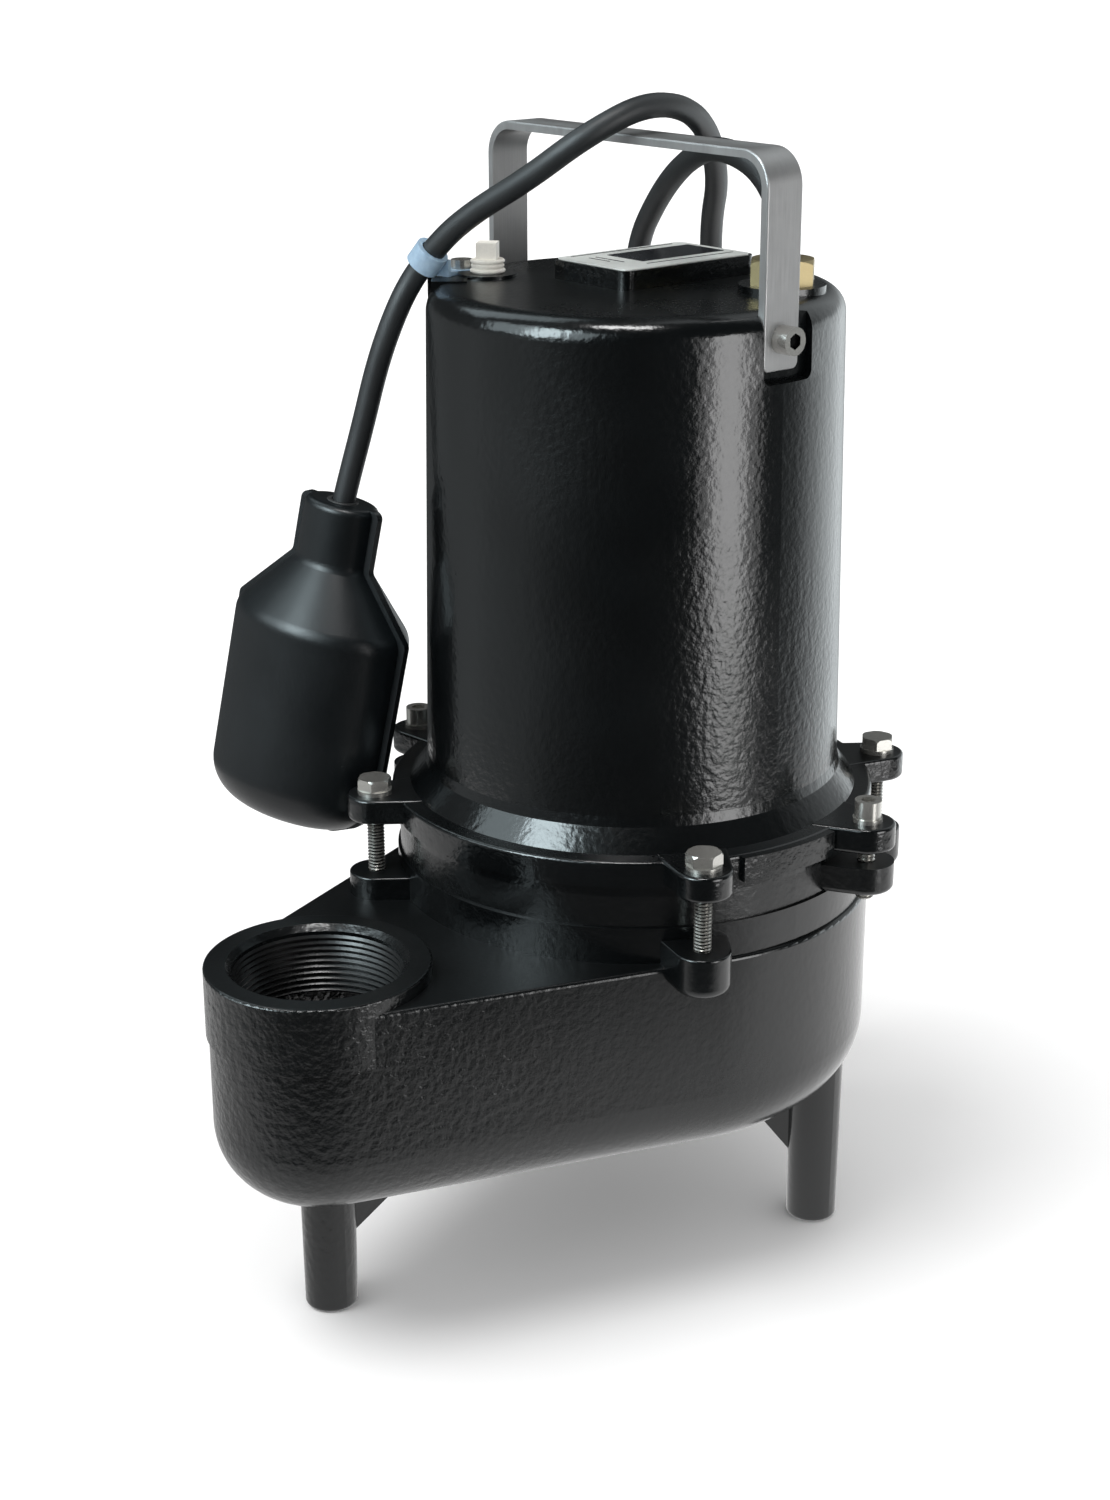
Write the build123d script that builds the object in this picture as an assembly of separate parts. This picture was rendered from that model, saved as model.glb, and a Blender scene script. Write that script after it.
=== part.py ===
from build123d import *
import math
import os

# Submersible sewage and sump pump with a tethered float switch.
# Millimetres, +Z up, standing surface at z = 0, motor axis on the Z axis.
# The lifting handle runs along X and the threaded discharge opens upward on the -Y side.

# ---- volute casing ----
volute_bottom = 57.0
deck_height = 137.5
volute_top = 150.5
volute_radius = 88.5
volute_edge_radius = 28.0
collar_radius = 87.0
boss_x = 2.0
boss_y = -144.0
boss_radius = 39.0
boss_top = 142.3
bore_radius = 29.2
bore_depth = 26.0
passage_radius = 26.0
chamber_radius = 68.0
chamber_floor = 66.0
chamber_roof = 126.0
suction_radius = 32.0
leg_radius_foot = 9.5
leg_radius_top = 10.2
leg_places = [(-10.0, -135.4), (58.6, 43.1), (-58.6, 43.1)]
leg_rib_thickness = 6.0

# ---- joint faces and bolt circle ----
bolt_circle = 96.2
bolt_angles = [63.0, 153.0, 243.0, 333.0]
screw_angles = [18.0, 198.0]
lobe_radius = 10.0
ear_top = 146.0
ear_bottom = 131.0
plate_top = 162.0
plate_radius = 86.0
flange_radius = 88.5
flange_bottom = 165.5
flange_top = 175.5
lobe_bottom = 166.7
plate_lobe_bottom = 151.0
plate_lobe_top = 161.3

# ---- motor housing ----
housing_top = 356.0
housing_radius_top = 72.7
housing_radius_foot = 75.7
housing_bore = 66.0
housing_inner_top = 345.0
label_pad = (40.0, 62.0, 7.0)
label_pad_centre = (-8.8, 16.4)
gland_place = (44.0, 27.4)
plug_place = (-46.5, -28.4)
clip_screw_place = (-59.0, -30.0)

# ---- handle ----
strap_width = 15.9
strap_thickness = 3.0
strap_half_span = 71.6
strap_top = 407.0
strap_bottom = 336.0
strap_bend = 12.0
handle_screw_height = 346.5

# ---- rotor and bearings ----
shaft_radius = 8.5
bearing_outer = 20.0
bearing_width = 12.0
lower_bearing_z = 172.0
upper_bearing_z = 322.0
rotor_radius = 33.5
stator_bore = 34.2
stack_bottom = 208.0
stack_top = 278.0

# ---- cords ----
cord_radius = 4.2
coil_mean_radius = 47.0
coil_half_width = 12.6

os.makedirs("parts", exist_ok=True)
nodes = {}


def cyl(radius, z0, z1, x=0.0, y=0.0):
    return Pos(x, y, (z0 + z1) / 2) * Cylinder(radius, z1 - z0)


def tube(outer, inner, z0, z1, x=0.0, y=0.0):
    return cyl(outer, z0, z1, x, y) - cyl(inner, z0 - 1, z1 + 1, x, y)


def block(x0, x1, y0, y1, z0, z1):
    return Pos((x0 + x1) / 2, (y0 + y1) / 2, (z0 + z1) / 2) * Box(x1 - x0, y1 - y0, z1 - z0)


def on_circle(radius, angle):
    turn = math.radians(angle)
    return radius * math.cos(turn), radius * math.sin(turn)


def at_angle(shape, angle):
    return Rot(0, 0, angle) * shape


def hexagon_prism(across_flats, z0, z1):
    sketch = RegularPolygon(across_flats / 2, 6, major_radius=False)
    return Pos(0, 0, z0) * extrude(sketch, z1 - z0)


def export(name, shapes):
    solids = []
    for shape in shapes:
        solids.extend(shape.solids())
    part = solids[0] if len(solids) == 1 else Compound(children=solids)
    part.label = name
    export_step(part, "parts/" + name + ".step")
    nodes[name] = solids
    print(name, len(solids), round(sum(s.volume for s in solids)))


def edges_at(shape, z, tolerance=0.05):
    return [e for e in shape.edges()
            if abs(e.bounding_box().min.Z - z) < tolerance
            and abs(e.bounding_box().max.Z - z) < tolerance]


def try_fillet(shape, edges, radius):
    # keeps the sharp edge when the round does not fit
    try:
        rounded = fillet(edges, radius)
        if rounded.is_valid and len(rounded.solids()) == len(shape.solids()):
            return rounded
    except Exception as problem:
        print("round left out", radius, str(problem)[:60])
    return shape


def hull_sketch(circles):
    # outline round two circles joined by their common tangents, drawn as two lines and two arcs
    (xa, ya, ra), (xb, yb, rb) = circles
    base = math.atan2(yb - ya, xb - xa)
    swing = math.acos((ra - rb) / math.hypot(xb - xa, yb - ya))

    def rim(x, y, radius, turn):
        return (x + radius * math.cos(turn), y + radius * math.sin(turn))

    edges = [
        ThreePointArc(
            rim(xa, ya, ra, base + swing), rim(xa, ya, ra, base + math.pi), rim(xa, ya, ra, base - swing)),
        Line(rim(xa, ya, ra, base - swing), rim(xb, yb, rb, base - swing)),
        ThreePointArc(rim(xb, yb, rb, base - swing), rim(xb, yb, rb, base), rim(xb, yb, rb, base + swing)),
        Line(rim(xb, yb, rb, base + swing), rim(xa, ya, ra, base + swing)),
    ]
    return make_face(Wire(edges))


def lobe(radius_out, angle, z0, z1, root=70.0, half_root=15.0, tip=lobe_radius):
    # rounded ear that grows out of a ring, flaring toward its root
    sweep = math.asin((half_root - tip) / (radius_out - root))
    web = Polygon(
        (root, -half_root),
        (radius_out + tip * math.sin(sweep), -tip * math.cos(sweep)),
        (radius_out + tip * math.sin(sweep), tip * math.cos(sweep)),
        (root, half_root),
        align=None,
    )
    sketch = web + Pos(radius_out, 0) * Circle(tip)
    return at_angle(Pos(0, 0, z0) * extrude(sketch, z1 - z0), angle)


# =====================================================================
# volute casing
# =====================================================================
outline = hull_sketch([(0, 0, volute_radius), (boss_x, boss_y, boss_radius - 1.0)])
body = Pos(0, 0, volute_bottom) * extrude(outline, deck_height - volute_bottom)
body = try_fillet(body, edges_at(body, volute_bottom), volute_edge_radius)
body = try_fillet(body, edges_at(body, deck_height), 1.5)
boss = cyl(boss_radius, 118.0, boss_top, boss_x, boss_y)
boss = try_fillet(boss, edges_at(boss, boss_top), 0.8)
casing = body + boss + cyl(collar_radius, 120.0, volute_top)
for angle in bolt_angles:
    ear = lobe(bolt_circle, angle, ear_bottom, ear_top)
    ear = try_fillet(ear, edges_at(ear, ear_bottom), 3.5)
    ear = try_fillet(ear, edges_at(ear, ear_top), 0.8)
    casing += ear
for x, y in leg_places:
    leg = Pos(x, y, 40.0) * Cone(leg_radius_foot, leg_radius_top, 80.0)
    leg = try_fillet(leg, edges_at(leg, 0.0), 1.5)
    reach = math.hypot(x, y)
    heading = math.degrees(math.atan2(-y, -x))
    rib_end, rib_end_height = (50.0, 52.0) if reach > 100.0 else (36.0, 57.0)
    rib_sketch = Polygon(
        (0, 27.0), (8.8, 27.0), (rib_end, rib_end_height), (rib_end, 64.0), (0, 64.0), align=None)
    rib = extrude(Plane.XZ * rib_sketch, leg_rib_thickness / 2, both=True)
    casing += leg + Pos(x, y, 0) * Rot(0, 0, heading) * rib
# water passages
cavity = cyl(chamber_radius, chamber_floor, volute_top + 1)
passage_outline = hull_sketch([(0, 0, chamber_radius), (boss_x, boss_y, passage_radius)])
passage = Pos(0, 0, 76.0) * extrude(passage_outline, chamber_roof - 76.0)
passage = try_fillet(passage, edges_at(passage, 76.0), 14.0)
scroll_outline = hull_sketch([(0, 0, volute_radius - 8.5), (boss_x, boss_y, boss_radius - 8.0)])
scroll = Pos(0, 0, chamber_floor + 1.0) * extrude(scroll_outline, 46.0)
scroll = try_fillet(scroll, edges_at(scroll, chamber_floor + 1.0), 20.0)
casing -= cavity
casing -= passage
casing -= scroll
casing -= cyl(bore_radius, boss_top - bore_depth, boss_top + 1, boss_x, boss_y)
casing -= cyl(passage_radius, chamber_roof - 20, boss_top, boss_x, boss_y)
chamfer_tool = Pos(boss_x, boss_y, boss_top - 1.0) * Cone(bore_radius, bore_radius + 2.2, 2.2)
casing -= chamfer_tool
casing -= cyl(suction_radius, volute_bottom - 1, chamber_floor + 1)
for angle in bolt_angles:
    x, y = on_circle(bolt_circle, angle)
    casing -= cyl(3.25, ear_bottom - 1, ear_top + 1, x, y)
export("volute_casing", [casing])

# =====================================================================
# seal plate between the volute and the motor
# =====================================================================
plate = tube(plate_radius, 14.0, volute_top, plate_top)
plate += tube(chamber_radius - 0.3, 14.0, volute_top - 4.0, volute_top + 1)
plate += tube(housing_bore - 0.3, 14.0, plate_top - 1, plate_top + 5.0)
plate += tube(27.0, 14.0, plate_top, lower_bearing_z + bearing_width)
for angle in screw_angles:
    ear = lobe(bolt_circle, angle, plate_lobe_bottom, plate_lobe_top, root=72.0, half_root=16.0)
    ear = try_fillet(ear, edges_at(ear, plate_lobe_bottom), 2.0)
    plate += ear - cyl(66.0, 140, 170)
plate -= cyl(bearing_outer, lower_bearing_z, lower_bearing_z + bearing_width + 1)
plate -= cyl(16.0, volute_top - 5.0, 156.0)
plate -= tube(housing_bore + 1, housing_bore - 2.7, plate_top + 1.2, plate_top + 3.8)
plate -= tube(chamber_radius + 1, chamber_radius - 2.7, volute_top - 3.3, volute_top - 0.7)
for angle in screw_angles:
    x, y = on_circle(bolt_circle, angle)
    plate -= cyl(3.25, plate_lobe_bottom - 1, plate_lobe_top + 1, x, y)
export("seal_plate", [plate])

ring = Pos(0, 0, volute_top - 2.0) * Torus(chamber_radius - 1.35, 1.2)
export("volute_o_ring", [ring])
ring = Pos(0, 0, plate_top + 2.5) * Torus(housing_bore - 1.35, 1.2)
export("housing_o_ring", [ring])

# =====================================================================
# motor housing
# =====================================================================
wall_profile = Polygon(
    (0, plate_top),
    (plate_radius, plate_top),
    (plate_radius, flange_bottom),
    (flange_radius, flange_bottom + 0.8),
    (flange_radius, flange_top),
    (82.2, flange_top + 0.2),
    (76.3, flange_top + 8.0),
    (75.4, flange_top + 11.5),
    (housing_radius_top, housing_top),
    (0, housing_top),
    align=None,
)
housing = revolve(Plane.XZ * wall_profile, Axis.Z)
housing = try_fillet(housing, edges_at(housing, housing_top), 8.5)
housing = try_fillet(
    housing, [e for e in edges_at(housing, flange_top) if e.bounding_box().size.X > 168], 1.2)
for angle in bolt_angles + screw_angles:
    half = 16.0 if angle in screw_angles else 15.0
    ear = lobe(bolt_circle, angle, lobe_bottom, flange_top + 0.5, half_root=half)
    ear = try_fillet(ear, edges_at(ear, flange_top + 0.5), 1.2)
    ear = try_fillet(ear, edges_at(ear, lobe_bottom), 1.5)
    housing += ear - cyl(69.0, 150, 200)
# raised pad cast on the flange side between two ears
side_pad = block(75.0, 93.0, -26.0, 15.0, flange_bottom + 0.8, flange_top - 0.3)
housing += side_pad & tube(flange_radius + 2.6, 75.0, 150, 180)
# bosses on the top
pad_x, pad_y = label_pad_centre
pad = block(-label_pad[0] / 2, label_pad[0] / 2, -label_pad[1] / 2, label_pad[1] / 2,
            housing_top - 1, housing_top + label_pad[2] - 0.4)
pad_corners = [e for e in pad.edges() if abs(e.bounding_box().size.Z - label_pad[2] - 0.6) < 0.1]
pad = try_fillet(pad, pad_corners, 4.0)
housing += Pos(pad_x, pad_y, 0) * pad
housing += cyl(15.0, housing_top - 1, housing_top + 2.4, *gland_place)
housing += cyl(10.5, housing_top - 1, housing_top + 1.2, *plug_place)
clip_boss = block(-9, 9, -7, 7, 334.0, housing_top - 1.0)
housing += Pos(-57.5, -33.0, 0) * Rot(0, 0, 30) * clip_boss
rim_lug = block(-71.0, -58.5, 1.0, 10.0, 334.0, housing_top + 0.6)
housing += at_angle(rim_lug, 50.0) & cyl(housing_radius_top - 0.2, 330, 370)
housing -= cyl(housing_bore, plate_top - 1, housing_inner_top)
# upper bearing pocket
housing += tube(27.0, bearing_outer, upper_bearing_z - 1, housing_inner_top + 2)
housing -= cyl(12.0, upper_bearing_z + bearing_width, 349.5)
# handle pockets, one each side, open upward
pocket = block(strap_half_span - strap_thickness, 90.0, -8.6, 14.5, 332.0, housing_top + 10)
pocket = try_fillet(pocket, [e for e in pocket.edges()
                             if abs(e.bounding_box().min.Z - 332.0) < 0.01 and e.bounding_box().size.X > 5
                             and e.bounding_box().size.Y < 0.1], 3.0)
for turn in (0.0, 180.0):
    screw_hole = Pos(66.5, 0, handle_screw_height) * Rot(0, 90, 0) * Cylinder(3.2, 7.0)
    inside_boss = block(58.0, strap_half_span - strap_thickness, -9.0, 9.0, 334.0, housing_inner_top + 1)
    housing += at_angle(inside_boss, turn) & cyl(70.0, 330, 350)
    housing -= at_angle(pocket, turn)
    housing -= at_angle(screw_hole, turn)
# holes
for angle in bolt_angles + screw_angles:
    x, y = on_circle(bolt_circle, angle)
    housing -= cyl(3.4, lobe_bottom - 1, flange_top + 2, x, y)
housing -= cyl(6.4, housing_inner_top - 1, housing_top + 4, *gland_place)
housing -= cyl(4.9, 349.0, housing_top + 4, *plug_place)
housing -= cyl(2.5, 344.0, housing_top + 3, *clip_screw_place)
export("motor_housing", [housing])

label = block(-label_pad[0] / 2 + 1.2, label_pad[0] / 2 - 1.2,
              -label_pad[1] / 2 + 1.2, label_pad[1] / 2 - 1.2,
              housing_top + label_pad[2] - 0.4, housing_top + label_pad[2])
label = fillet([e for e in label.edges() if abs(e.bounding_box().size.Z - 0.4) < 0.01], 3.0)
export("label_plate", [Pos(pad_x, pad_y, 0) * label])

# =====================================================================
# fasteners
# =====================================================================


def threaded_shank(radius, z0, z1, pitch=1.27):
    # straight shank with annular thread grooves
    count = int((z1 - z0) / pitch)
    root = radius - 0.55
    points = [(0, z0), (root, z0)]
    for i in range(count):
        base = z0 + i * pitch
        points.append((root, base + 0.12 * pitch))
        points.append((radius, base + 0.5 * pitch))
        points.append((root, base + 0.88 * pitch))
    points.append((root, z1))
    points.append((0, z1))
    return revolve(Plane.XZ * Polygon(*points, align=None), Axis.Z)


bolt_head = hexagon_prism(11.1, flange_top + 2.1, flange_top + 6.3)
bolt_chamfer = Pos(0, 0, flange_top + 4.2) * Cone(8.6, 5.8, 4.2)
bolt_head = bolt_head & (bolt_chamfer + cyl(8.6, flange_top, flange_top + 5.3))
bolts = []
washers = []
for angle in bolt_angles:
    x, y = on_circle(bolt_circle, angle)
    shank = threaded_shank(3.15, 132.0, 169.0) + cyl(3.15, 168.0, flange_top + 3)
    bolts.append(Pos(x, y, 0) * (Rot(0, 0, angle + 10) * bolt_head + shank))
    washers.append(tube(6.3, 3.4, flange_top + 0.5, flange_top + 2.1, x, y))
export("flange_bolts", bolts)
export("flange_bolt_washers", washers)

socket_head = cyl(4.75, flange_top + 2.1, flange_top + 8.4) - (
    Pos(0, 0, 0) * hexagon_prism(4.8, flange_top + 5.2, flange_top + 9))
socket_screws = []
lock_washers = []
for angle in screw_angles:
    x, y = on_circle(bolt_circle, angle)
    shank = threaded_shank(3.15, 147.0, 170.0) + cyl(3.15, 169.0, flange_top + 3)
    socket_screws.append(Pos(x, y, 0) * (socket_head + shank))
    lock_washers.append(tube(5.3, 3.4, flange_top + 0.5, flange_top + 2.1, x, y))
export("seal_plate_screws", socket_screws)
export("seal_plate_lock_washers", lock_washers)

# =====================================================================
# lifting handle and its screws
# =====================================================================
half = strap_half_span
strap_outer = Pos(0, 0, strap_bottom) * Box(
    2 * half, strap_width, strap_top - strap_bottom, align=(Align.CENTER, Align.CENTER, Align.MIN))
strap_outer = fillet(
    [e for e in edges_at(strap_outer, strap_top) if e.bounding_box().size.Y > 10], strap_bend)
strap_inner = Pos(0, 0, strap_bottom - 5) * Box(
    2 * (half - strap_thickness), strap_width + 4, strap_top - strap_thickness - strap_bottom + 5,
    align=(Align.CENTER, Align.CENTER, Align.MIN))
strap_inner = fillet(
    [e for e in edges_at(strap_inner, strap_top - strap_thickness) if e.bounding_box().size.Y > 10],
    strap_bend - strap_thickness)
handle = strap_outer - strap_inner
handle = fillet([e for e in edges_at(handle, strap_bottom) if e.bounding_box().size.X < 4
                 and e.bounding_box().size.Y < 0.1] or handle.edges().filter_by(Axis.X)
                .filter_by(lambda e: e.bounding_box().max.Z < strap_bottom + 0.1), 2.5)
outline = [e for e in handle.edges() if e.bounding_box().size.Y < 0.01
           and max(e.bounding_box().size.X, e.bounding_box().size.Z) > 5.0
           and (e.bounding_box().max.X > half - 0.01 or e.bounding_box().min.X < 0.01 - half
                or e.bounding_box().max.Z > strap_top - 0.01)]
handle = try_fillet(handle, outline, 0.7)
for turn in (0.0, 180.0):
    handle -= at_angle(Pos(half, 0, handle_screw_height) * Rot(0, 90, 0) * Cylinder(3.4, 12), turn)
export("lifting_handle", [handle])
screws = []
for turn in (0.0, 180.0):
    head = Pos(half + 3.175, 0, 0) * Rot(0, 90, 0) * Cylinder(4.76, 6.35)
    recess = Pos(half + 5.0, 0, 0) * Rot(0, 90, 0) * extrude(
        RegularPolygon(2.4, 6, major_radius=False), 4.0)
    shank = Pos(half - 3.4, 0, 0) * Rot(0, 90, 0) * Cylinder(3.1, 8.0)
    screws.append(at_angle(Pos(0, 0, handle_screw_height) * (head - recess + shank), turn))
export("handle_screws", screws)

# =====================================================================
# fill plug, cord gland, clip
# =====================================================================
plug_z = housing_top + 1.2
plug = cyl(4.8, 349.6, plug_z + 0.1) + cyl(5.6, plug_z, plug_z + 4.6)
plug += Pos(0, 0, plug_z + 7.5) * Box(7.2, 7.2, 6.2)
export("oil_fill_plug", [Pos(plug_place[0], plug_place[1], 0) * Rot(0, 0, 42) * plug])
gland_z = housing_top + 2.4
gland = hexagon_prism(21.0, gland_z, gland_z + 8.6) & (
    cyl(12.4, gland_z, gland_z + 7) + Pos(0, 0, gland_z + 7.8) * Cone(12.4, 10.6, 1.6))
gland += cyl(6.3, 347.0, gland_z + 0.1)
gland -= cyl(cord_radius + 0.8, 346.0, gland_z + 10)
export("cord_gland", [Pos(gland_place[0], gland_place[1], 0) * Rot(0, 0, 12) * gland])
grommet = Pos(gland_place[0], gland_place[1], 0) * cyl(cord_radius + 0.8, 347.0, gland_z + 10.4)

# =====================================================================
# rotor, stator, bearings, seal, impeller
# =====================================================================
shaft = cyl(shaft_radius, 156.5, 336.0) + cyl(7.0, 108.0, 157.0)
shaft += cyl(10.5, lower_bearing_z + bearing_width, upper_bearing_z)
shaft += cyl(7.0, 335.0, 340.0)
shaft = try_fillet(shaft, edges_at(shaft, 340.0), 0.8)
export("rotor_shaft", [shaft])
core = tube(rotor_radius, 10.5, stack_bottom, stack_top)
export("rotor_core", [core])
rings = []
for z0, z1 in ((stack_bottom - 8.0, stack_bottom), (stack_top, stack_top + 8.0)):
    rings.append(tube(rotor_radius - 0.6, 18.0, z0, z1))
export("rotor_end_rings", rings)
lamination = tube(housing_bore, stator_bore, stack_bottom, stack_top)
slot = block(stator_bore + 4.0, 54.0, -3.2, 3.2, stack_bottom - 1, stack_top + 1)
for index in range(12):
    lamination -= at_angle(slot, 30.0 * index)
export("stator_core", [lamination])
windings = []
for z0, z1 in ((stack_bottom - 14.0, stack_bottom), (stack_top, stack_top + 14.0)):
    turns = tube(57.0, 40.0, z0, z1)
    windings.append(try_fillet(turns, turns.edges(), 4.0))
bars = block(stator_bore + 5.0, 53.5, -2.8, 2.8, stack_bottom, stack_top)
coils = windings[0] + windings[1]
for index in range(12):
    coils += at_angle(bars, 30.0 * index)
export("stator_windings", [coils])


def bearing(name, z0):
    z1 = z0 + bearing_width
    middle = (z0 + z1) / 2
    groove = Pos(0, 0, middle) * Torus(14.2, 3.45)
    outer_ring = tube(bearing_outer, 15.6, z0, z1) - groove
    inner_ring = tube(12.8, shaft_radius, z0, z1) - groove
    balls = []
    for index in range(8):
        x, y = on_circle(14.2, 45.0 * index)
        balls.append(Pos(x, y, middle) * Sphere(3.4))
    export(name + "_bearing_outer_ring", [outer_ring])
    export(name + "_bearing_inner_ring", [inner_ring])
    export(name + "_bearing_balls", balls)


bearing("lower", lower_bearing_z)
bearing("upper", upper_bearing_z)

seal_seat = tube(16.0, 7.4, 150.0, 156.0)
export("shaft_seal_seat", [seal_seat])
seal_head = tube(13.0, 7.0, 143.6, 150.0)
export("shaft_seal_head", [try_fillet(seal_head, edges_at(seal_head, 143.6), 0.8)])
spring_helix = Helix(pitch=3.4, height=10.2, radius=10.4)
spring_profile = Plane(origin=spring_helix @ 0, z_dir=spring_helix % 0) * Circle(0.8)
seal_spring = Pos(0, 0, 132.5) * sweep(spring_profile, path=spring_helix)
export("shaft_seal_spring", [seal_spring])

hub = tube(13.5, 7.0, 112.0, 131.6)
shroud = tube(60.0, 7.0, 121.0, 127.0)
blade_blank = block(11.0, 58.0, -2.5, 2.5, 100.0, 122.0)
impeller = hub + shroud
for index in range(6):
    impeller += at_angle(Pos(0, 7.0, 0) * blade_blank, 60.0 * index)
impeller -= cyl(7.0, 90, 140)
impeller &= cyl(60.0, 90, 140)
export("impeller", [impeller])
nut = hexagon_prism(17.0, 104.0, 112.0) - cyl(7.0, 100, 113)
export("impeller_nut", [nut])

capacitor = cyl(13.0, 298.0, housing_inner_top, 8.0, -44.0)
export("run_capacitor", [try_fillet(capacitor, edges_at(capacitor, 298.0), 1.5)])
strap_ring = tube(14.2, 13.0, 318.0, 326.0, 8.0, -44.0)
strap_foot = block(4.0, 12.0, -31.2, -26.4, 318.0, 326.0)
strap_foot -= cyl(27.0, 300, 340)
export("capacitor_clamp", [strap_ring + (strap_foot - cyl(13.6, 300, 340, 8.0, -44.0))])
terminal_block = block(34.0, 54.0, 34.5, 42.0, 332.0, housing_inner_top)
export("terminal_block", [terminal_block & cyl(64.0, 320, 350)])

# =====================================================================
# cords: straight runs joined by tangent arcs
# =====================================================================


def aft(across, along, z):
    # point behind the motor, along the 140 degree heading where both cords leave
    turn = math.radians(50.0)
    return (across * math.cos(turn) - along * math.sin(turn),
            across * math.sin(turn) + along * math.cos(turn), z)


def cord_tube(points, name, radius=cord_radius):
    bends = []
    for index in range(1, len(points) - 1):
        before = Vector(*points[index]) - Vector(*points[index - 1])
        after = Vector(*points[index + 1]) - Vector(*points[index])
        turn = math.radians(before.get_angle(after))
        bends.append(0.45 * min(before.length, after.length) / math.tan(turn / 2))
    print(name, "bend radii", [round(b) for b in bends], "least", round(min(bends), 1))
    path = FilletPolyline(*points, radius=bends)
    profile = Plane(origin=path @ 0, z_dir=path % 0) * Circle(radius)
    solid = sweep(profile, path=path)
    ratio = solid.volume / (math.pi * radius ** 2 * path.length)
    print(name, "length", round(path.length, 1), "volume ratio", round(ratio, 4))
    return solid


def coil(across, along, bottom):
    x, y, z = aft(across, along, bottom)
    ring = tube(coil_mean_radius + coil_half_width, coil_mean_radius - coil_half_width,
                z, z + 2 * coil_half_width, x, y)
    return fillet(ring.edges(), 3.8)


clip_pivot = (-62.5, -49.0, 356.0)
power_coil_place = (0.0, 178.0, 0.0)
float_coil_place = (0.0, 178.0, 25.5)

float_run_points = [
    (-59.8, -47.6, 359.5),
    (-52.5, -45.0, 369.0),
    (-38.5, -39.5, 380.5),
    (-19.0, -33.0, 392.0),
    (0.5, -23.5, 407.5),
    (7.0, 0.0, 418.0),
    (-2.5, 32.5, 411.0),
    (-23.0, 61.0, 386.5),
    (-42.0, 75.0, 365.0),
    (-54.0, 88.0, 335.0),
    (-59.0, 94.5, 295.0),
    (-57.5, 98.0, 245.0),
    (-55.5, 101.0, 195.0),
    (-53.5, 104.5, 150.0),
    (-52.5, 108.5, 110.0),
    (-53.5, 113.5, 75.0),
    aft(57.5, 129.5, 46.0),
    aft(56.3, 142.5, 34.5),
]
power_run_points = [
    (44.0, 27.4, 349.0),
    (44.0, 27.4, 368.0),
    (42.5, 27.5, 383.0),
    (32.0, 26.5, 396.5),
    (12.0, 26.0, 402.0),
    (-15.0, 37.5, 394.0),
    (-43.0, 50.5, 379.0),
    (-65.0, 58.0, 356.5),
    (-75.0, 67.0, 322.0),
    (-79.5, 69.5, 280.0),
    (-82.5, 69.0, 232.0),
    (-86.0, 67.0, 184.0),
    (-92.0, 63.5, 136.0),
    (-100.0, 58.5, 90.0),
    (-110.0, 51.0, 50.0),
    aft(-48.5, 112.0, 18.0),
    aft(-53.0, 128.0, 6.5),
    aft(-54.6, 142.5, 4.4),
]
drop_points = [
    clip_pivot,
    (-66.0, -54.0, 345.0),
    (-71.5, -59.0, 326.0),
    (-76.5, -63.0, 302.0),
    (-80.0, -67.0, 283.5),
    (-82.5, -70.5, 267.0),
    (-85.0, -73.5, 247.0),
]
power_tail_points = [
    aft(-56.3, 210.0, 4.4),
    aft(-56.8, 226.0, 4.8),
    aft(-57.0, 242.0, 9.0),
]
float_tail_points = [
    aft(40.0, 205.0, 55.2),
    aft(32.0, 215.0, 56.5),
    aft(22.0, 222.0, 60.2),
]
power_ring = coil(*power_coil_place)
float_ring = coil(*float_coil_place)
export("float_cord_run", [cord_tube(float_run_points, "float_cord_run")])
power_run = cord_tube(power_run_points, "power_cord_run")
export("cord_grommet", [grommet - power_run])
export("power_cord_run", [power_run])
export("power_cord_coil", [power_ring])
export("float_cord_coil", [float_ring])


def plug(along_point, heading_point, piggyback):
    # moulded plug lying flat; local +X is the way the blades point, cord enters at the origin
    x0, y0, z0 = along_point
    heading = math.degrees(math.atan2(heading_point[1] - y0, heading_point[0] - x0))
    length = 46.0 if piggyback else 38.0
    shell = Pos(length / 2, 0, 13.0) * Box(length, 30.0, 26.0)
    shell = fillet(shell.edges().filter_by(Axis.X), 7.0)
    shell = try_fillet(shell, shell.faces().sort_by(Axis.X)[0].edges(), 3.0)
    shell -= Pos(2.0, 0, 9.0) * Rot(0, 90, 0) * Cylinder(cord_radius, 12.0)
    blades = [
        Pos(length + 8.8, -6.35, 15.0) * Box(17.6, 1.5, 6.3),
        Pos(length + 8.8, 6.35, 15.0) * Box(17.6, 1.5, 6.3),
        Pos(length + 9.5, 0, 6.0) * Rot(0, 90, 0) * Cylinder(2.4, 19.0),
    ]
    place = Pos(x0, y0, z0 - 9.0) * Rot(0, 0, heading)
    return place * shell, [place * blade for blade in blades]


power_tail = cord_tube(power_tail_points, "power_cord_tail")
float_tail = cord_tube(float_tail_points, "float_cord_tail")
power_plug, power_blades = plug(aft(-57.0, 242.0, 9.0), aft(-57.3, 262.0, 9.0), False)
float_plug, float_blades = plug(aft(22.0, 222.0, 60.2), aft(2.0, 225.0, 60.2), True)
export("power_cord_tail", [power_tail - power_plug])
export("float_cord_tail", [float_tail - float_plug])
export("power_plug", [power_plug])
export("power_plug_blades", power_blades)
export("float_switch_plug", [float_plug])
export("float_switch_plug_blades", float_blades)

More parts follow.
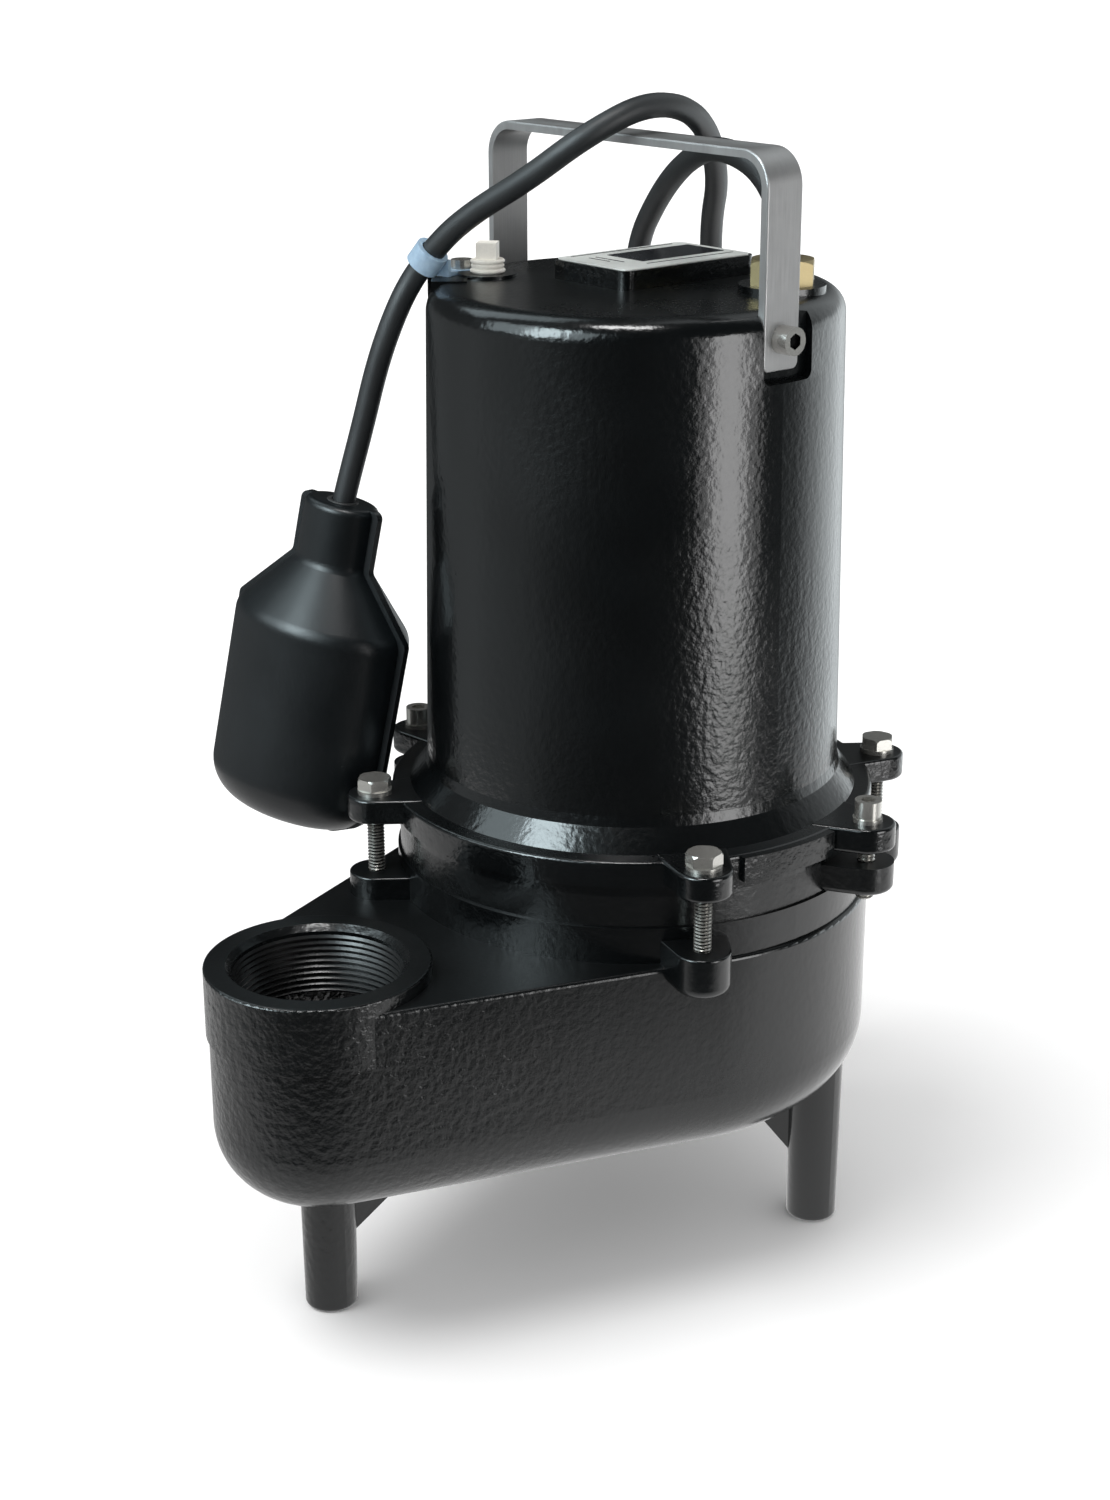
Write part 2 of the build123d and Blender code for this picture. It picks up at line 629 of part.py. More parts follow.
# cord clip: a loop round the cord and a tab held under a screw
loop_centre = (-57.3, -46.7, 362.9)
loop_way = Vector(*float_run_points[1]) - Vector(*float_run_points[0])
loop_plane = Plane(origin=loop_centre, z_dir=loop_way, x_dir=(0, 0, 1))
loop_sketch = Circle(cord_radius + 1.9) - Circle(cord_radius + 0.02)
clip_loop = extrude(loop_plane * loop_sketch, 3.7, both=True)
tab = Pos(clip_screw_place[0], clip_screw_place[1], housing_top + 0.7) * Cylinder(5.6, 1.4)
tab_arm = Pos(-58.6, -36.5, housing_top + 0.7) * Rot(0, 0, 8) * Box(8.4, 9.5, 1.4)
riser = Pos(-57.0, -41.3, housing_top + 3.0) * Rot(0, 0, 12) * Box(8.4, 1.6, 6.0)
clip = clip_loop + tab + tab_arm + riser
clip -= cyl(2.6, housing_top - 1, housing_top + 3, *clip_screw_place)
clip -= housing
clip -= cord_tube(float_run_points[:4], "clip bore", cord_radius + 0.02)
export("cord_clip", [clip])
clip_screw = (cyl(4.0, housing_top + 1.4, housing_top + 4.6, *clip_screw_place)
              - Pos(*clip_screw_place, 0) * hexagon_prism(3.0, housing_top + 2.8, housing_top + 8)
              + cyl(2.4, housing_top - 8.0, housing_top + 1.5, *clip_screw_place))
export("cord_clip_screw", [clip_screw])

# =====================================================================
# float: local +Z points up its neck, local X is its wide way
# =====================================================================
neck_top = (-81.6, -69.2, 274.5)
float_up = Vector(0.1226, 0.1462, 0.9816)
float_frame = Plane(origin=neck_top, z_dir=float_up, x_dir=(0.940, 0.342, -0.168))
float_length = 123.0
float_wall = 2.4


def float_body(inset):
    # neck, sloping shoulders and a rounded body, shrunk by the inset
    def oval(half_x, half_y, z):
        return Pos(0, 0, z) * Ellipse(half_x - inset, half_y - inset)

    neck = extrude(oval(14.5, 11.5, -23.0), 23.0 - inset)
    if inset == 0.0:
        neck = try_fillet(neck, edges_at(neck, 0.0), 2.5)
    shoulder = loft([oval(14.5, 11.5, -23.0), oval(35.0, 26.0, -45.0)], ruled=True)
    lower = extrude(oval(35.0, 26.0, -float_length + inset), float_length - inset - 45.0)
    lower = try_fillet(lower, edges_at(lower, -float_length + inset), 17.0 - inset)
    body = neck + shoulder + lower
    if inset == 0.0:
        body = try_fillet(body, edges_at(body, -45.0), 9.0)
        body = try_fillet(body, edges_at(body, -23.0), 5.0)
    return body


outer = float_body(0.0)
inner = float_body(float_wall)
seam_sketch = Polygon(
    (-17.0, 0.0), (-17.0, -23.0), (-37.4, -45.0), (-37.4, -106.0), (-31.6, -118.6), (-20.0, -124.4),
    (20.0, -124.4), (31.6, -118.6), (37.4, -106.0), (37.4, -45.0), (17.0, -23.0), (17.0, 0.0),
    align=None)
seam_sketch = fillet([v for v in seam_sketch.vertices() if v.Y < -100.0], 8.0)
seam_sketch = fillet([v for v in seam_sketch.vertices() if v.Y > -60.0], 3.0)
seam = extrude(Plane.XZ * seam_sketch, 1.6, both=True)
float_shell = outer + seam - inner
drop = cord_tube(drop_points, "float_cord_drop")
neck_hole = cord_tube(drop_points, "neck bore", cord_radius + 0.02)
front_space = block(-60, 60, -60, 0, -140, 20)
back_space = block(-60, 60, 0, 60, -140, 20)
place_float = float_frame.location
export("float_shell_front", [place_float * (float_shell & front_space) - neck_hole])
export("float_shell_back", [place_float * (float_shell & back_space) - neck_hole])
drop += Pos(*clip_pivot) * Sphere(cord_radius)
export("float_cord_drop", [drop])
channel = tube(10.0, 8.2, -float_length + float_wall, -76.0)
channel += cyl(10.0, -float_length + float_wall, -float_length + float_wall + 6.0)
channel = channel & Pos(0, 0, 0) * float_body(float_wall)
export("float_ball_channel", [place_float * channel])
ball_floor = -float_length + float_wall + 6.0
export("float_ball", [place_float * (Pos(0, 0, ball_floor + 8.0) * Sphere(8.0))])
switch = block(-11.0, 11.0, -8.0, 8.0, -72.0, -56.0)
switch += tube(10.0, 8.2, -76.0, -72.0)
export("float_micro_switch", [place_float * switch])
lever = block(-7.0, 7.0, -2.5, 2.5, -73.2, -72.0)
export("float_switch_lever", [place_float * lever])
print("nodes", len(nodes))
print("volume total", round(sum(s.volume for group in nodes.values() for s in group)))
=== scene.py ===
import bpy
import bmesh
import math
from mathutils import Vector, Matrix


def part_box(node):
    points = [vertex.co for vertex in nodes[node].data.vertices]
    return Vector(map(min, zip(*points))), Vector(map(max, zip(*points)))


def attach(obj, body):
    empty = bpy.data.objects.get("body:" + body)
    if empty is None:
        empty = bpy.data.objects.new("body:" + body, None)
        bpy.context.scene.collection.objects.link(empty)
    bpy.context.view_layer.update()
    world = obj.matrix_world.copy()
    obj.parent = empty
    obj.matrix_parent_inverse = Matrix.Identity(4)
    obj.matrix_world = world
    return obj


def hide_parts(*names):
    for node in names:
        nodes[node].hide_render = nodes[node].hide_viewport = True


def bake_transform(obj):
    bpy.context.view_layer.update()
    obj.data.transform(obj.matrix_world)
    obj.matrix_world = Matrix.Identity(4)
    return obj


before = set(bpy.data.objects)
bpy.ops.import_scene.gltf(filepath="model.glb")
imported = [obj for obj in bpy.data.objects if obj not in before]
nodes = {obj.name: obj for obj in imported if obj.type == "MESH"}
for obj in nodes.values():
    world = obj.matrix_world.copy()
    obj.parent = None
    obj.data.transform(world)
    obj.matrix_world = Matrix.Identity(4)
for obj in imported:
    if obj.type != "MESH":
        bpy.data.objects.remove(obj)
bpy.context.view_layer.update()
scene = bpy.context.scene
MM = 0.001
# the camera looks this far round from the object's +Y, so the aft directions are turned with it
AFT_TURN = math.radians(50.0)
CAMERA_PLACE = (0.6349, -0.5688, 0.4921)
CAMERA_ANGLES = (70.13, 0.13, 50.0)
CAMERA_LENS = 58.74

# ---------------------------------------------------------------- camera
camera_data = bpy.data.cameras.new("camera")
camera = bpy.data.objects.new("camera", camera_data)
scene.collection.objects.link(camera)
camera.location = CAMERA_PLACE
camera.rotation_euler = [math.radians(angle) for angle in CAMERA_ANGLES]
camera_data.sensor_fit = "AUTO"
camera_data.sensor_width = 36.0
camera_data.lens = CAMERA_LENS
camera_data.clip_start = 0.02
camera_data.clip_end = 60.0
scene.camera = camera


def aft(across, along, z):
    # a place to the camera's right and away from it, as a place in the object's own directions
    return (across * math.cos(AFT_TURN) - along * math.sin(AFT_TURN),
            across * math.sin(AFT_TURN) + along * math.cos(AFT_TURN), z)


def new_object(name, data):
    obj = bpy.data.objects.new(name, data)
    scene.collection.objects.link(obj)
    return obj


# ---------------------------------------------------------------- materials
def node_material(name):
    material = bpy.data.materials.new(name)
    material.use_nodes = True
    tree = material.node_tree
    tree.nodes.clear()
    out = tree.nodes.new("ShaderNodeOutputMaterial")
    shader = tree.nodes.new("ShaderNodeBsdfPrincipled")
    tree.links.new(shader.outputs[0], out.inputs[0])
    return material, tree, shader


def place(tree, scale=(1, 1, 1), rotation=(0, 0, 0)):
    # object coordinates, in metres
    coords = tree.nodes.new("ShaderNodeTexCoord")
    mapping = tree.nodes.new("ShaderNodeMapping")
    mapping.inputs["Scale"].default_value = scale
    mapping.inputs["Rotation"].default_value = rotation
    tree.links.new(coords.outputs["Object"], mapping.inputs["Vector"])
    return mapping.outputs[0]


def noise(tree, vector, scale, detail=2.0, roughness=0.5):
    texture = tree.nodes.new("ShaderNodeTexNoise")
    texture.inputs["Scale"].default_value = scale
    texture.inputs["Detail"].default_value = detail
    texture.inputs["Roughness"].default_value = roughness
    tree.links.new(vector, texture.inputs["Vector"])
    return texture.outputs["Fac"]


def ramp(tree, value, low, high, at=(0.0, 1.0)):
    step = tree.nodes.new("ShaderNodeMapRange")
    step.inputs["From Min"].default_value = at[0]
    step.inputs["From Max"].default_value = at[1]
    step.inputs["To Min"].default_value = low
    step.inputs["To Max"].default_value = high
    tree.links.new(value, step.inputs["Value"])
    return step.outputs["Result"]


def maths(tree, kind, a, b=None):
    step = tree.nodes.new("ShaderNodeMath")
    step.operation = kind
    for index, value in enumerate((a, b)):
        if value is None:
            continue
        if isinstance(value, (int, float)):
            step.inputs[index].default_value = value
        else:
            tree.links.new(value, step.inputs[index])
    return step.outputs[0]


def colours(tree, value, stops):
    step = tree.nodes.new("ShaderNodeValToRGB")
    band = step.color_ramp
    while len(band.elements) < len(stops):
        band.elements.new(0.5)
    for element, (position, colour) in zip(band.elements, stops):
        element.position = position
        element.color = (*colour, 1.0)
    tree.links.new(value, step.inputs[0])
    return step.outputs[0]


def bump(tree, height, distance, strength=1.0, under=None):
    step = tree.nodes.new("ShaderNodeBump")
    step.inputs["Distance"].default_value = distance
    step.inputs["Strength"].default_value = strength
    tree.links.new(height, step.inputs["Height"])
    if under is not None:
        tree.links.new(under, step.inputs["Normal"])
    return step.outputs[0]


def separate(tree, vector):
    step = tree.nodes.new("ShaderNodeSeparateXYZ")
    tree.links.new(vector, step.inputs[0])
    return step.outputs


BLACK_ENAMEL = (0.0019, 0.0025, 0.0028)
PATCH_SCALE = 11.0
WAVE_SCALE = 38.0
PEEL_SCALE = 620.0


def enamel_material(name, pits, peel, rough=0.2, colour=BLACK_ENAMEL, patches=(0.46, 0.64),
                    slow=0.00035, grain_scale=400.0, rough_spot=None):
    # enamel over sand-cast iron: slow waves, orange peel and shallow cast pits in patches;
    # faces that look up carry fewer pits and less gloss, because the paint pools on them
    material, tree, shader = node_material(name)
    vector = place(tree)
    patch = ramp(tree, noise(tree, vector, PATCH_SCALE, 2.0, 0.5), 0.0, 1.0, patches)
    wave = noise(tree, vector, WAVE_SCALE, 2.0, 0.4)
    grain = noise(tree, vector, grain_scale, 2.0, 0.5)
    fine = noise(tree, vector, PEEL_SCALE, 2.0, 0.5)
    geometry = tree.nodes.new("ShaderNodeNewGeometry")
    up = separate(tree, geometry.outputs["Normal"])[2]
    side = ramp(tree, maths(tree, "ABSOLUTE", up), 1.0, 0.06, (0.45, 0.95))
    height = maths(tree, "MULTIPLY", grain, maths(tree, "MULTIPLY", side, ramp(tree, patch, 0.45, 1.0)))
    if rough_spot:
        # the cast pits grow fainter away from one place
        spot = tree.nodes.new("ShaderNodeVectorMath")
        spot.operation = "DISTANCE"
        tree.links.new(vector, spot.inputs[0])
        spot.inputs[1].default_value = rough_spot
        near = ramp(tree, spot.outputs["Value"], 1.0, 0.22, (0.045, 0.14))
        height = maths(tree, "MULTIPLY", height, near)
    first = bump(tree, wave, slow, 1.0)
    second = bump(tree, height, pits, 1.0, first)
    third = bump(tree, fine, peel, 1.0, second)
    tree.links.new(third, shader.inputs["Normal"])
    tint = colours(tree, wave, [(0.35, colour), (0.7, tuple(c * 1.5 for c in colour))])
    tree.links.new(tint, shader.inputs["Base Color"])
    gloss = ramp(tree, maths(tree, "ADD", patch, fine), rough - 0.04, rough + 0.08, (0.3, 1.6))
    dull_top = ramp(tree, up, 0.0, 0.12, (0.75, 0.98))
    tree.links.new(maths(tree, "ADD", gloss, dull_top), shader.inputs["Roughness"])
    shader.inputs["IOR"].default_value = 1.52
    return material


def metal_material(name, colour, rough, grain_scale, grain_depth, streak=(1, 1, 1), dark=0.7,
                   spread=0.12, anisotropic=0.0, metallic=0.8):
    # fine grain and broad stains vary the colour between dark times colour and colour
    material, tree, shader = node_material(name)
    fine = noise(tree, place(tree, streak), grain_scale, 3.0, 0.6)
    broad = noise(tree, place(tree), 70.0, 3.0, 0.55)
    mixed = maths(tree, "MULTIPLY", maths(tree, "ADD", fine, broad), 0.5)
    tint = colours(tree, mixed, [(0.34, tuple(c * dark for c in colour)), (0.62, colour)])
    tree.links.new(tint, shader.inputs["Base Color"])
    tree.links.new(ramp(tree, fine, rough, rough + spread, (0.3, 0.7)), shader.inputs["Roughness"])
    tree.links.new(bump(tree, fine, grain_depth, 0.6), shader.inputs["Normal"])
    shader.inputs["Metallic"].default_value = metallic
    shader.inputs["Anisotropic"].default_value = anisotropic
    return material


def plastic_material(name, colour, rough, grain_scale, grain_depth, light=1.35, ior=1.47, spread=0.1):
    # broad blotches vary the colour between colour and light times colour
    material, tree, shader = node_material(name)
    fine = noise(tree, place(tree), grain_scale, 3.0, 0.55)
    broad = noise(tree, place(tree), 40.0, 3.0, 0.5)
    tint = colours(tree, broad, [(0.3, colour), (0.7, tuple(min(1.0, c * light) for c in colour))])
    tree.links.new(tint, shader.inputs["Base Color"])
    tree.links.new(ramp(tree, maths(tree, "MULTIPLY", maths(tree, "ADD", fine, broad), 0.5),
                        rough - spread / 2, rough + spread / 2, (0.35, 0.65)), shader.inputs["Roughness"])
    tree.links.new(bump(tree, fine, grain_depth, 0.7), shader.inputs["Normal"])
    shader.inputs["IOR"].default_value = ior
    return material


enamel_casing = enamel_material("enamel_on_rough_casting", 0.00062, 0.00003, 0.20, patches=(0.36, 0.60),
                                slow=0.00010, grain_scale=360.0, rough_spot=(-0.02, -0.150, 0.100))
enamel_housing = enamel_material("enamel_on_housing", 0.00030, 0.00003, 0.18, slow=0.00012)
enamel_plate = enamel_material("enamel_on_plate", 0.00024, 0.00004, 0.27)
STAINLESS = (0.50, 0.49, 0.46)
# dark colour painted into the thread grooves as shade
GROOVE_SHADE = (0.012, 0.012, 0.011)
stainless = metal_material("turned_stainless", STAINLESS, 0.22, 1600.0, 0.000001, dark=0.90, spread=0.03)


def darken(material, amount, colour):
    # mixes a dark colour over a material where amount is 1
    tree = material.node_tree
    shader = next(n for n in tree.nodes if n.type == "BSDF_PRINCIPLED")
    mix = tree.nodes.new("ShaderNodeMix")
    mix.data_type = "RGBA"
    mix.inputs["B"].default_value = (*colour, 1.0)
    tree.links.new(amount, mix.inputs["Factor"])
    tree.links.new(shader.inputs["Base Color"].links[0].from_socket, mix.inputs["A"])
    tree.links.new(mix.outputs["Result"], shader.inputs["Base Color"])


def threaded_material(name, first, pitch, last):
    # stainless with painted shade in the thread grooves between two heights, in metres
    material = metal_material(name, STAINLESS, 0.22, 1600.0, 0.000001, dark=0.90, spread=0.03)
    tree = material.node_tree
    height = separate(tree, place(tree))[2]
    turns = maths(tree, "FRACT", maths(tree, "MULTIPLY", maths(tree, "SUBTRACT", height, first), 1 / pitch))
    from_crest = maths(tree, "ABSOLUTE", maths(tree, "SUBTRACT", turns, 0.5))
    groove = ramp(tree, from_crest, 0.0, 1.0, (0.22, 0.40))
    darken(material, maths(tree, "MULTIPLY", groove, maths(tree, "LESS_THAN", height, last)), GROOVE_SHADE)
    return material


RECESS_REACH = 0.0028
RECESS_SETBACK = 0.0003


def socket_material(name, axis_height, face):
    # stainless with painted shade in the hexagon recess of a head that lies along X, in metres
    material = metal_material(name, (0.60, 0.59, 0.56), 0.18, 1600.0, 0.000001, dark=0.90, spread=0.03)
    tree = material.node_tree
    across, along, height = separate(tree, place(tree))
    rise = maths(tree, "SUBTRACT", height, axis_height)
    reach = maths(tree, "SQRT", maths(tree, "ADD", maths(tree, "MULTIPLY", along, along),
                                      maths(tree, "MULTIPLY", rise, rise)))
    behind = maths(tree, "LESS_THAN", maths(tree, "ABSOLUTE", across), face - RECESS_SETBACK)
    inside = maths(tree, "LESS_THAN", reach, RECESS_REACH)
    darken(material, maths(tree, "MULTIPLY", inside, behind), (0.010, 0.010, 0.010))
    return material


THREAD_BOTTOM = 0.132
THREAD_TOP = 0.166
THREAD_PITCH = 0.00127
threaded = threaded_material("threaded_stainless", THREAD_BOTTOM, THREAD_PITCH, THREAD_TOP)
screw_low, screw_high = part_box("handle_screws")
socketed = socket_material("socketed_stainless", (screw_low[2] + screw_high[2]) / 2, screw_high[0])
brushed = metal_material("brushed_stainless", (0.33, 0.33, 0.33), 0.34, 420.0, 0.00002,
                         streak=(1, 6, 0.12), dark=0.84, anisotropic=0.4, metallic=0.75)
zinc = metal_material("zinc_plate", (0.98, 0.95, 0.87), 0.34, 900.0, 0.00001, dark=0.9, metallic=0.05)
brass = metal_material("machined_brass", (0.32, 0.26, 0.14), 0.42, 1200.0, 0.000004, dark=0.85, spread=0.05)
steel = metal_material("ground_steel", (0.58, 0.57, 0.56), 0.16, 1200.0, 0.00001)
laminated = metal_material("stacked_laminations", (0.22, 0.23, 0.24), 0.42, 700.0, 0.00006, (0.3, 0.3, 5))
copper = metal_material("varnished_copper", (0.56, 0.25, 0.11), 0.30, 500.0, 0.00012, (1, 1, 4))
label_foil = metal_material("satin_label_foil", (0.84, 0.87, 0.84), 0.36, 900.0, 0.00001, dark=0.88,
                            metallic=0.25)
aluminium = metal_material("cast_aluminium", (0.66, 0.66, 0.67), 0.38, 500.0, 0.00005)
iron = enamel_material("coated_impeller", 0.0003, 0.00005, 0.4, (0.03, 0.03, 0.03))
rubber = plastic_material("black_rubber_jacket", (0.0105, 0.0122, 0.0135), 0.5, 1500.0, 0.00006, 1.6, 1.5)
seal_rubber = plastic_material("nitrile_rubber", (0.016, 0.016, 0.016), 0.6, 900.0, 0.00005)
float_plastic = plastic_material("charcoal_float_plastic", (0.0026, 0.0042, 0.0054), 0.35, 900.0, 0.00002,
                                 light=1.3, ior=1.46)
vinyl = plastic_material("moulded_vinyl", (0.014, 0.014, 0.015), 0.32, 600.0, 0.00004)
cream = plastic_material("moulded_terminal_plastic", (0.62, 0.56, 0.44), 0.4, 500.0, 0.00004, 1.1)
ceramic = plastic_material("lapped_ceramic", (0.80, 0.77, 0.70), 0.18, 900.0, 0.00001, 1.05, 1.6)


def nylon_material():
    # blue-grey nylon that lets a little light through
    material, tree, shader = node_material("natural_nylon")
    fine = noise(tree, place(tree), 500.0, 2.0, 0.5)
    tint = colours(tree, fine, [(0.3, (0.31, 0.46, 0.61)), (0.7, (0.42, 0.58, 0.72))])
    tree.links.new(tint, shader.inputs["Base Color"])
    tree.links.new(bump(tree, fine, 0.00003, 0.5), shader.inputs["Normal"])
    shader.inputs["Roughness"].default_value = 0.32
    shader.inputs["Subsurface Weight"].default_value = 0.35
    shader.inputs["Subsurface Radius"].default_value = (0.002, 0.0025, 0.003)
    shader.inputs["Transmission Weight"].default_value = 0.15
    return material


nylon = nylon_material()
finishes = {
    "volute_casing": enamel_casing, "seal_plate": enamel_plate, "motor_housing": enamel_housing,
    "volute_o_ring": seal_rubber, "housing_o_ring": seal_rubber, "label_plate": label_foil,
    "flange_bolts": threaded, "flange_bolt_washers": stainless, "seal_plate_screws": stainless,
    "seal_plate_lock_washers": stainless, "lifting_handle": brushed, "handle_screws": socketed,
    "oil_fill_plug": zinc, "cord_gland": brass, "cord_grommet": rubber, "rotor_shaft": steel,
    "rotor_core": laminated, "rotor_end_rings": aluminium, "stator_core": laminated,
    "stator_windings": copper, "lower_bearing_outer_ring": steel, "lower_bearing_inner_ring": steel,
    "lower_bearing_balls": steel, "upper_bearing_outer_ring": steel, "upper_bearing_inner_ring": steel,
    "upper_bearing_balls": steel, "shaft_seal_seat": ceramic, "shaft_seal_head": seal_rubber,
    "shaft_seal_spring": steel, "impeller": iron, "impeller_nut": stainless, "run_capacitor": aluminium,
    "capacitor_clamp": zinc, "terminal_block": cream, "power_plug": vinyl, "float_switch_plug": vinyl,
    "power_plug_blades": brass, "float_switch_plug_blades": brass, "cord_clip": nylon,
    "cord_clip_screw": stainless, "float_shell_front": float_plastic, "float_shell_back": float_plastic,
    "float_ball_channel": cream, "float_ball": steel, "float_micro_switch": cream,
    "float_switch_lever": steel,
}
for name, obj in nodes.items():
    if name in finishes:
        obj.data.materials.clear()
        obj.data.materials.append(finishes[name])

# ---------------------------------------------------------------- cords
# the cord's radius, in metres
CORD = 0.0042


def cord_curve(name, points):
    # round cord on one smooth NURBS line through given control points, in mm
    data = bpy.data.curves.new(name, "CURVE")
    data.dimensions = "3D"
    spline = data.splines.new("NURBS")
    spline.points.add(len(points) - 1)
    for place_at, point in zip(spline.points, points):
        place_at.co = (point[0] * MM, point[1] * MM, point[2] * MM, 1.0)
    spline.order_u = 3
    spline.use_endpoint_u = True
    spline.resolution_u = 10
    data.bevel_depth = CORD
    data.bevel_resolution = 6
    data.use_fill_caps = True
    data.materials.append(rubber)
    return new_object(name, data)


def centre_line(curve):
    # points along a curve's own NURBS line, in metres; the curve loses its thickness
    curve.data.bevel_depth = 0.0
    curve.data.use_fill_caps = False
    bpy.context.view_layer.update()
    graph = bpy.context.evaluated_depsgraph_get()
    line = bpy.data.meshes.new_from_object(curve.evaluated_get(graph))
    points = [curve.matrix_world @ v.co for v in line.vertices]
    bpy.data.meshes.remove(line)
    return points


def tube_along(name, points, radii, material, sides=20):
    # mesh tube that follows points, one radius for each point
    mesh = bmesh.new()
    rings = []
    side = None
    for index, point in enumerate(points):
        ahead = points[min(index + 1, len(points) - 1)] - points[max(index - 1, 0)]
        ahead.normalize()
        if side is None:
            side = ahead.orthogonal().normalized()
        side = (side - ahead * side.dot(ahead)).normalized()
        other = ahead.cross(side)
        ring = []
        for k in range(sides):
            angle = 2 * math.pi * k / sides
            spoke = math.cos(angle) * side + math.sin(angle) * other
            ring.append(mesh.verts.new(point + radii[index] * spoke))
        rings.append(ring)
    for a, b in zip(rings, rings[1:]):
        for k in range(sides):
            mesh.faces.new((a[k], a[(k + 1) % sides], b[(k + 1) % sides], b[k]))
    mesh.faces.new(list(reversed(rings[0])))
    mesh.faces.new(rings[-1])
    bmesh.ops.recalc_face_normals(mesh, faces=mesh.faces)
    data = bpy.data.meshes.new(name)
    mesh.to_mesh(data)
    mesh.free()
    for polygon in data.polygons:
        polygon.use_smooth = len(polygon.vertices) < 5
    data.materials.append(material)
    return new_object(name, data)


# both coils lie one on the other, aft of the pump; sizes in mm
COIL_PLACE = (0.0, 178.0)
COIL_STEP = 8.55
FIRST_LAYER = 4.4
RING_RADII = (38.6, 47.1, 55.6)
TURN_POINTS = 14
CHANGE_FROM = 0.7


def coil_points(bottom, layout, start_angle, clockwise=False):
    # turns of a neat coil; layout lists (ring, layer) for each turn, angles are in the aft frame
    across, along = COIL_PLACE
    points = []
    sign = -1.0 if clockwise else 1.0
    count = len(layout) * TURN_POINTS
    for step in range(count + 1):
        turn = step / TURN_POINTS
        index = min(int(turn), len(layout) - 1)
        part = turn - index
        ring, layer = layout[index]
        next_ring, next_layer = layout[min(index + 1, len(layout) - 1)]
        # the end of each turn climbs or steps over to the next ring
        blend = max(0.0, (part - CHANGE_FROM) / (1 - CHANGE_FROM))
        blend = blend * blend * (3 - 2 * blend)
        radius = RING_RADII[ring] * (1 - blend) + RING_RADII[next_ring] * blend
        height = bottom + FIRST_LAYER + COIL_STEP * (layer * (1 - blend) + next_layer * blend)
        angle = math.radians(start_angle) + sign * 2 * math.pi * turn
        # the control points stand a little outside the circle that the smooth line makes
        radius = radius / math.cos(math.pi / TURN_POINTS) if 0 < step < count else radius
        points.append(aft(across + radius * math.cos(angle), along + radius * math.sin(angle), height))
    return points


float_run_points = [
    (-59.8, -47.6, 359.5),
    (-52.5, -45.0, 369.0),
    (-38.5, -39.5, 380.5),
    (-19.0, -33.0, 392.0),
    (0.5, -23.5, 407.5),
    (7.0, 0.0, 418.0),
    (-2.5, 32.5, 411.0),
    (-23.0, 61.0, 386.5),
    (-42.0, 75.0, 365.0),
    (-54.0, 88.0, 335.0),
    (-59.0, 94.5, 295.0),
    (-57.5, 98.0, 245.0),
    (-55.5, 101.0, 195.0),
    (-53.5, 104.5, 150.0),
    (-52.5, 108.5, 110.0),
    (-53.5, 113.5, 75.0),
    aft(57.5, 129.5, 46.0),
    aft(56.3, 142.5, 34.5),
]
power_run_points = [
    (44.0, 27.4, 349.0),
    (44.0, 27.4, 368.0),
    (42.5, 27.5, 383.0),
    (32.0, 26.5, 396.5),
    (12.0, 26.0, 402.0),
    (-15.0, 37.5, 394.0),
    (-43.0, 50.5, 379.0),
    (-65.0, 58.0, 356.5),
    (-75.0, 67.0, 322.0),
    (-79.5, 69.5, 280.0),
    (-82.5, 69.0, 232.0),
    (-86.0, 67.0, 184.0),
    (-92.0, 63.5, 136.0),
    (-100.0, 58.5, 90.0),
    (-110.0, 51.0, 50.0),
    aft(-48.5, 112.0, 18.0),
    aft(-53.0, 128.0, 6.5),
    aft(-54.6, 142.5, 4.4),
]
drop_points = [
    (-62.5, -49.0, 356.0),
    (-66.0, -54.0, 345.0),
    (-71.5, -59.0, 326.0),
    (-76.5, -63.0, 302.0),
    (-80.0, -67.0, 283.5),
    (-82.5, -70.5, 267.0),
    (-85.0, -73.5, 247.0),
]
# the power cord comes in on the coil's left side heading away, so it turns clockwise seen from above
power_layout = [(2, 0), (1, 0), (0, 0), (0, 1), (1, 1), (2, 1), (1, 2), (2, 2)]
power_coil = coil_points(0.0, power_layout, 180.0, clockwise=True)
power_end = [
    aft(-56.0, 194.0, 21.0),
    aft(-57.0, 208.0, 16.5),
    aft(-57.2, 222.0, 10.0),
    aft(-57.0, 242.0, 9.0),
]
power_cord = cord_curve("power_cord", power_run_points + power_coil + power_end)
# the float's cord comes in on the coil's right side heading away, so it turns the other way
FLOAT_COIL_BOTTOM = 25.5
float_layout = [(2, 0), (1, 0), (0, 0), (0, 1), (1, 1), (2, 1), (2, 2)]
float_coil = coil_points(FLOAT_COIL_BOTTOM, float_layout, 0.0)
float_end = [
    aft(54.0, 192.0, 48.5),
    aft(46.0, 204.0, 52.5),
    aft(35.0, 214.0, 57.5),
    aft(22.0, 222.0, 60.2),
]
float_cord = cord_curve("float_switch_cord", float_run_points + float_coil + float_end)
drop_curve = cord_curve("float_cord_drop_line", [float_run_points[0]] + drop_points)
# the hanging end is a mesh tube between the base and the float
drop_line = centre_line(drop_curve)
bpy.data.objects.remove(drop_curve)
drop = tube_along("float_cord_upper", drop_line, [CORD] * len(drop_line), rubber)
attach(power_cord, "base")
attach(float_cord, "base")
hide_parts("power_cord_run", "power_cord_coil", "power_cord_tail")
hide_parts("float_cord_run", "float_cord_coil", "float_cord_tail")
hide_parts("float_cord_drop")
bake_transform(drop)

# ---------------------------------------------------------------- mesh helpers


